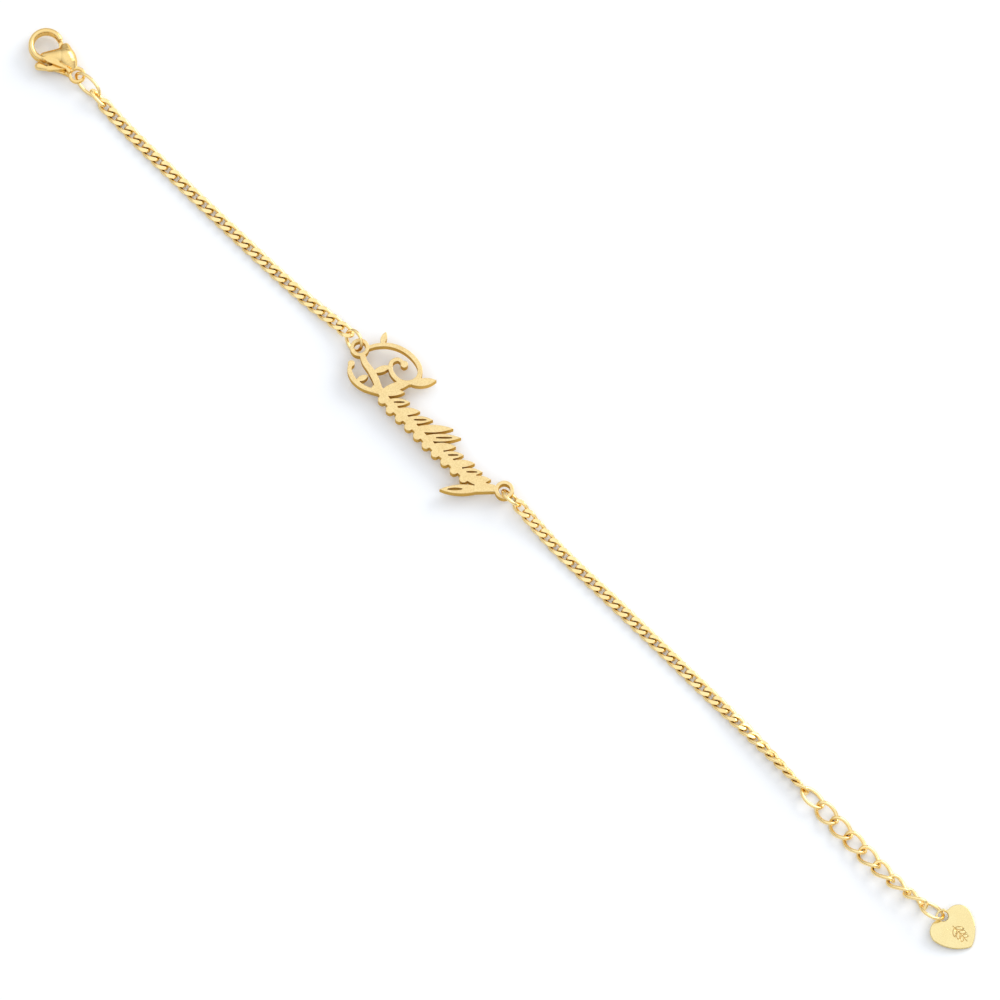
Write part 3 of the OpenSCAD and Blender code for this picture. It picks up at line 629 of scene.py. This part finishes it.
# %% The whole tree
def build_links():
    """The tree's named inputs, with sizes in millimetres, and its four steps in their order."""
    tree = bpy.data.node_groups.new("wire_links", "GeometryNodeTree")
    socket(tree, "Places", "NodeSocketGeometry", "INPUT")
    for name, value in (("Half length", 1.3), ("Half width", 0.7), ("Wire", 0.5), ("Twist", 0.0),
                        ("Squareness", 1.0), ("Broader ends", 0.0), ("Ground to", 9.0)):
        socket(tree, name, "NodeSocketFloat", "INPUT", value)
    for name, value in (("Steps along", 48), ("Sides", 20)):
        socket(tree, name, "NodeSocketInt", "INPUT", value)
    socket(tree, "Finish", "NodeSocketMaterial", "INPUT")
    socket(tree, "Links", "NodeSocketGeometry", "OUTPUT")
    given = tree.nodes.new("NodeGroupInput").outputs
    out = tree.nodes.new("NodeGroupOutput").inputs
    link = ground_flat(tree, given, skin_wire(tree, given, *bend_oval(tree, given)))
    tree.links.new(copied_to_places(tree, given, link), out["Links"])
    return tree


LINKS = build_links()
print("the link tree has", len(LINKS.nodes), "nodes")


# %% Put links at their places
LINK_REACH = 0.9


def links_at(name, places, material, stands_for, **sizes):
    """One piece with a link at each place. Sizes are the tree's named inputs, in millimetres."""
    points = bpy.data.meshes.new(name)
    points.from_pydata([tuple(middle) for middle, turn in places], [], [])
    turns = points.attributes.new("turn", "FLOAT_VECTOR", "POINT")
    for (middle, turn), item in zip(places, turns.data):
        item.vector = turn
    piece = bpy.data.objects.new(name, points)
    bpy.context.scene.collection.objects.link(piece)
    modifier = piece.modifiers.new("links", "NODES")
    modifier.node_group = LINKS
    inputs = {s.name: s.identifier for s in LINKS.interface.items_tree if s.in_out == "INPUT"}
    for key, value in sizes.items():
        modifier[inputs[key.replace("_", " ")]] = value
    modifier[inputs["Finish"]] = material
    piece = evaluated(piece)
    # The map of hollows paints a brown shade between the links.
    mark_hollow_shade(piece, LINK_REACH)
    finished(piece, material, *stands_for)


# %% The two curb chains
# The left chain's first link, which holds the clasp's ring, isn't twisted.
CURB = dict(Half_length=1.322, Half_width=0.71, Wire=0.57, Squareness=0.74, Broader_ends=0.25,
            Ground_to=0.44)
CURB_TWIST = math.radians(51)
links_at("right_chain_links", right_places, wire_finish, ["right_chain"], Twist=CURB_TWIST, **CURB)
links_at("left_chain_links", left_places[1:], wire_finish, ["left_chain"], Twist=CURB_TWIST, **CURB)
links_at("left_chain_end", left_places[:1], wire_finish, ["left_chain"], **CURB)

# %% The extender and the jump rings
OPEN = dict(Half_length=1.88, Half_width=1.2, Wire=0.57, Squareness=0.8, Twist=math.radians(45))
links_at("extender_links", extender_places, wire_finish, extender_names, **OPEN)
for name, half_length, half_width, wire_mm in (
    ("extender_ring", 1.9, 1.25, 0.56),
    ("clasp_ring", 2.25, 1.4, 0.5),
    ("left_ring", 1.6, 1.6, 0.5),
    ("right_ring", 1.6, 1.6, 0.5),
    ("tag_ring", 1.8, 1.8, 0.5),
):
    links_at(name + "_wire", link_places(name), wire_finish, [name],
             Half_length=half_length, Half_width=half_width, Wire=wire_mm)

# %% [markdown]
# ## The plate and the tag
#
# Both are cut from sheet, and tumbling rounds their edges a little. A filled 2D curve gives just that: the
# outline is read from the solid's own flat face, eased where it is an arc, and given a thickness and a round
# bevel. Weighted normals then keep the wide faces flat and let only the narrow edges shine.


# %% The plane of a sheet
def flat_frame(bm):
    """A turn that lays a sheet level. Its matrix ends in the normal of the sheet's upper side."""
    up = Vector()
    for face in bm.faces:
        if face.normal.z > 0.5:
            up += face.normal * face.calc_area()
    up.normalize()
    right = Vector((1, 0, 0))
    right = (right - up * right.dot(up)).normalized()
    return Matrix((right, up.cross(right), up))


# %% Outlines of a flat face
UPRIGHT = 0.99
SAME_HEIGHT = 0.01


def outlines(bm, plane, pick):
    """Closed outlines of the faces that pick chooses, as lists of (x, y) in the plane."""
    chosen = {f for f in bm.faces if pick(plane @ f.normal, (plane @ f.calc_center_median()).z)}
    rim = {}
    for edge in bm.edges:
        if sum(f in chosen for f in edge.link_faces) == 1:
            for vert in edge.verts:
                rim.setdefault(vert, []).append(edge.other_vert(vert))
    loops = []
    while rim:
        start = next(iter(rim))
        loop, last, vert = [start], None, start
        while True:
            onward = [v for v in rim[vert] if v is not last]
            last, vert = vert, onward[0]
            if vert is start:
                break
            loop.append(vert)
        for v in loop:
            del rim[v]
        loops.append([(plane @ v.co).xy for v in loop])
    return loops


# %% Round arcs
def eased(loop, sharpest=math.radians(32), cut=0.25):
    """The outline with its gentle corners cut once, so that arcs look round. Sharp corners stay."""
    result = []
    for i, here in enumerate(loop):
        before, after = loop[i - 1], loop[(i + 1) % len(loop)]
        if (here - before).angle(after - here, 0) < sharpest:
            result += [here.lerp(before, cut), here.lerp(after, cut)]
        else:
            result.append(here)
    return result


# %% A sheet with round edges
def sheet_from(name, loops, low, high, round_by):
    """A filled curve between two heights, as a mesh."""
    curve = bpy.data.curves.new(name, "CURVE")
    curve.dimensions = "2D"
    curve.fill_mode = "BOTH"
    curve.extrude = (high - low) / 2 - round_by
    curve.bevel_depth = round_by
    curve.bevel_resolution = 2
    curve.offset = -round_by
    for loop in loops:
        spline = curve.splines.new("POLY")
        spline.points.add(len(loop) - 1)
        for point, at in zip(spline.points, loop):
            point.co = (at[0], at[1], 0, 1)
        spline.use_cyclic_u = True
    piece = bpy.data.objects.new(name, curve)
    bpy.context.scene.collection.objects.link(piece)
    piece = evaluated(piece)
    piece.data.transform(Matrix.Translation((0, 0, (low + high) / 2)))
    bm = bmesh.new()
    bm.from_mesh(piece.data)
    bmesh.ops.remove_doubles(bm, verts=bm.verts, dist=WELD)
    bmesh.ops.recalc_face_normals(bm, faces=bm.faces)
    bm.to_mesh(piece.data)
    bm.free()
    return piece


def shaded(piece):
    """Smooth round edges beside flat faces."""
    piece.data.shade_smooth()
    weighted = piece.modifiers.new("weighted", "WEIGHTED_NORMAL")
    weighted.keep_sharp = True
    weighted.weight = 100
    return evaluated(piece)


# %% The nameplate
PLATE_EDGE = 0.06
PLATE_REACH = 2.2
bm = welded("nameplate")
plane = flat_frame(bm)
top = max(v.co.z for v in bm.verts)
low = min(v.co.z for v in bm.verts)
loops = outlines(bm, plane, lambda normal, height: normal.z > UPRIGHT and height > top - SAME_HEIGHT)
bm.free()
plate = shaded(sheet_from("nameplate_sheet", [eased(loop) for loop in loops], low, top, PLATE_EDGE))
# The map of hollows paints a brown shade in the plate's slits and on its cut walls.
mark_hollow_shade(plate, PLATE_REACH, by_face=True)
finished(plate, plate_finish, "nameplate")
print("the plate has", len(loops) - 1, "openings")

# %% The tag and its engraving
# The engraving's floor is the level face that lies below the tag's upper side.
TAG_EDGE = 0.12
ENGRAVED_DEPTH = 0.08
CUTTER_ABOVE = 0.3
bm = welded("heart_tag")
plane = flat_frame(bm)
heights = [(plane @ v.co).z for v in bm.verts]
low, top = min(heights), max(heights)
back_loops = outlines(bm, plane, lambda normal, height: normal.z < -UPRIGHT and height < low + SAME_HEIGHT)
floor_top = top - ENGRAVED_DEPTH / 2
floor_loops = outlines(bm, plane, lambda normal, height: normal.z > UPRIGHT and height < floor_top)
bm.free()
tag = sheet_from("heart_sheet", [eased(loop) for loop in back_loops], low, top, TAG_EDGE)
cutter = sheet_from("sprig_cutter", floor_loops, top - ENGRAVED_DEPTH, top + CUTTER_ABOVE, 0)
for piece, material in ((tag, tag_finish), (cutter, engraved_finish)):
    piece.data.materials.clear()
    piece.data.materials.append(material)
engrave = tag.modifiers.new("engrave", "BOOLEAN")
engrave.object = cutter
engrave.solver = "EXACT"
engrave.material_mode = "TRANSFER"
tag = evaluated(tag)
bpy.data.objects.remove(cutter)
tag = shaded(tag)
tag.data.transform(plane.transposed().to_4x4())
finished(tag, tag_finish, "heart_tag")
print("the tag's engraving has", len(floor_loops), "outlines")

# %% [markdown]
# ## The clasp
#
# A lobster clasp is cast in one piece and then tumbled, so every join between its bulb, hook and eye is a
# soft fillet. Remaking its skin in small even squares and easing them gives that look everywhere at once,
# which would be hard to draw join by join. The lever is a second casting, and it rides on its own body.


# %% Cast and tumbled pieces
CAST_REACH = 2.2


def cast(name, square, rounds):
    """The solid with its skin remade in squares of that many millimetres, and eased that many times."""
    piece = object_from(welded(name), name + "_cast")
    skin = piece.modifiers.new("skin", "REMESH")
    skin.mode = "VOXEL"
    skin.voxel_size = square
    ease = piece.modifiers.new("ease", "SMOOTH")
    ease.factor = 0.5
    ease.iterations = rounds
    piece = evaluated(piece)
    piece.data.shade_smooth()
    # The map of hollows paints a brown shade in the clasp's slot and joins.
    mark_hollow_shade(piece, CAST_REACH)
    return piece


finished(cast("clasp_body", square=0.05, rounds=14), clasp_finish, "clasp_body")
finished(cast("clasp_lever", square=0.04, rounds=6), clasp_finish, "clasp_lever")

# The pin is hidden in the clasp, so it keeps its solid's own form and takes only the gold
for at in nodes["clasp_pin"].material_slots:
    at.material = clasp_finish

# %% [markdown]
# ## Table and light
#
# The bracelet lies on plain white paper. A broad lamp behind it, on the right, casts the soft shadows that
# fall towards the lower left. The sky is bright above and dimmer towards the horizon, because a polished
# thing shows what surrounds it: with an even white sky it would look flat and pale.

# %% The table
# It lies a hair below the bracelet's lowest points. Its white is a little cool, because the gold throws a
# warm light on it.
TABLE_DROP = 0.01 * MM
PAPER_WHITE = (0.91, 0.935, 0.975, 1)
paper = bpy.data.materials.new("white_paper")
paper.use_nodes = True
paper_look = paper.node_tree.nodes["Principled BSDF"].inputs
paper_look["Base Color"].default_value = PAPER_WHITE
paper_look["Roughness"].default_value = 0.7
paper_look["Specular IOR Level"].default_value = 0.2
bm = bmesh.new()
bmesh.ops.create_grid(bm, x_segments=1, y_segments=1, size=3)
table = object_from(bm, "table")
table.data.transform(Matrix.Translation((0, 0, -TABLE_DROP)))
table.data.materials.append(paper)
table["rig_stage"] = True
print("the table is", round(table.dimensions.x, 1), "m wide")

# %% The sky
# Above the horizon, each step of the sky is a height, a level and how blue it is beside white.
HORIZON = (0.3, 0.26, 0.22, 1)
SKY_STEPS = ((0.5, 0.84, 1.0), (0.85, 1.1, 1.05), (1.0, 1.16, 1.05))
world = bpy.data.worlds.new("studio")
bpy.context.scene.world = world
world.use_nodes = True
sky = world.node_tree
where = sky.nodes.new("ShaderNodeTexCoord")
split = sky.nodes.new("ShaderNodeSeparateXYZ")
ramp = sky.nodes.new("ShaderNodeValToRGB")
sky.links.new(where.outputs["Generated"], split.inputs[0])
sky.links.new(split.outputs["Z"], ramp.inputs["Fac"])
sky.links.new(ramp.outputs["Color"], sky.nodes["Background"].inputs["Color"])
sky.nodes["Background"].inputs["Strength"].default_value = 1.0
stops = ramp.color_ramp.elements
stops.remove(stops[1])
stops[0].position = 0
stops[0].color = HORIZON
for height, level, blue in SKY_STEPS:
    stops.new(height).color = (level, level * (1 + blue) / 2, level * blue, 1)
print("the sky has", len(stops), "steps")


# %% The lamp
def lamp(name, toward, away, size, watts, colour):
    """A square soft lamp that stands away from the bracelet in a direction and looks at it."""
    data = bpy.data.lights.new(name, "AREA")
    data.size = size
    data.energy = watts
    data.color = colour
    made = bpy.data.objects.new(name, data)
    bpy.context.scene.collection.objects.link(made)
    direction = Vector(toward).normalized()
    made.location = AIM + direction * away
    made.rotation_mode = "QUATERNION"
    made.rotation_quaternion = direction.to_track_quat("Z", "Y")
    print(name, "lamp stands", round(math.degrees(math.asin(direction.z))), "degrees above the table")


lamp("key", toward=(0.1, 0.87, 0.4), away=1.2, size=0.9, watts=8.5, colour=(1, 0.95, 0.88))
bpy.context.scene.view_settings.view_transform = "Standard"

# %% The size of the visual pieces
low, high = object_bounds()
print("visual box in mm:", [round(v / MM, 2) for v in high - low])
